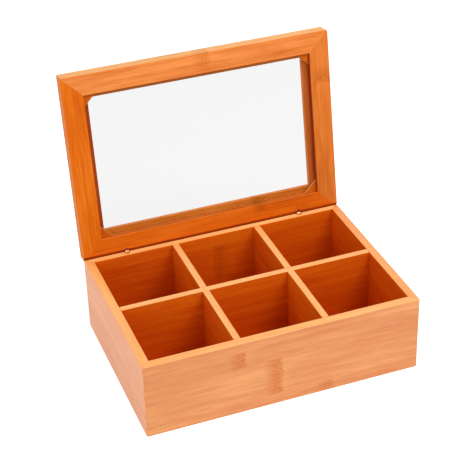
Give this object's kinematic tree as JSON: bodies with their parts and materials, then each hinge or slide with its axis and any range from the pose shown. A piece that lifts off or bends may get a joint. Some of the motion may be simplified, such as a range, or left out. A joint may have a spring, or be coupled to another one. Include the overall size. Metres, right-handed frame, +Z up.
{
  "type": "tea bag organizer box",
  "caption": "Rectangular bamboo box divided into open-topped compartments for tea bags, with a hinged lid that frames a clear pane and stands open on its stop.",
  "frame": {"origin": "middle of the underside of the box, on the surface that it stands on", "axes": "+X to the right along the width, -Y to the front, +Z up; the lid's hinge line runs along X above the back panel"},
  "size_m": [0.23, 0.195, 0.222],
  "materials": {
    "box_bamboo": "laminated bamboo, sanded smooth under a thin satin lacquer",
    "divider_bamboo": "laminated bamboo, sanded, satin lacquer",
    "lid_bamboo": "laminated bamboo, sanded smooth under a thin satin lacquer",
    "clear_pane": "clear sheet acrylic, polished",
    "brass": "turned brass, bright",
    "pin_steel": "drawn steel wire"
  },
  "bodies": {
    "box": {"front_panel": "box_bamboo", "back_panel": "box_bamboo", "left_panel": "box_bamboo", "right_panel": "box_bamboo", "bottom_panel": "divider_bamboo", "cross_divider": "divider_bamboo", "left_divider": "divider_bamboo", "right_divider": "divider_bamboo", "left_lower_barrel": "brass", "right_lower_barrel": "brass", "left_hinge_pin": "pin_steel", "right_hinge_pin": "pin_steel"},
    "lid": {"lid_front_rail": "lid_bamboo", "lid_rear_rail": "lid_bamboo", "lid_left_rail": "lid_bamboo", "lid_right_rail": "lid_bamboo", "window_pane": "clear_pane", "front_left_block": "lid_bamboo", "front_right_block": "lid_bamboo", "rear_left_block": "lid_bamboo", "rear_right_block": "lid_bamboo", "left_upper_barrel": "brass", "right_upper_barrel": "brass"}
  },
  "joints": [
    {"name": "lid_hinge", "type": "hinge", "parent": "box", "child": "lid", "pos_m": [0, 0.0778, 0.06615], "axis": [1, 0, 0], "range_deg": [0, 99]}
  ]
}
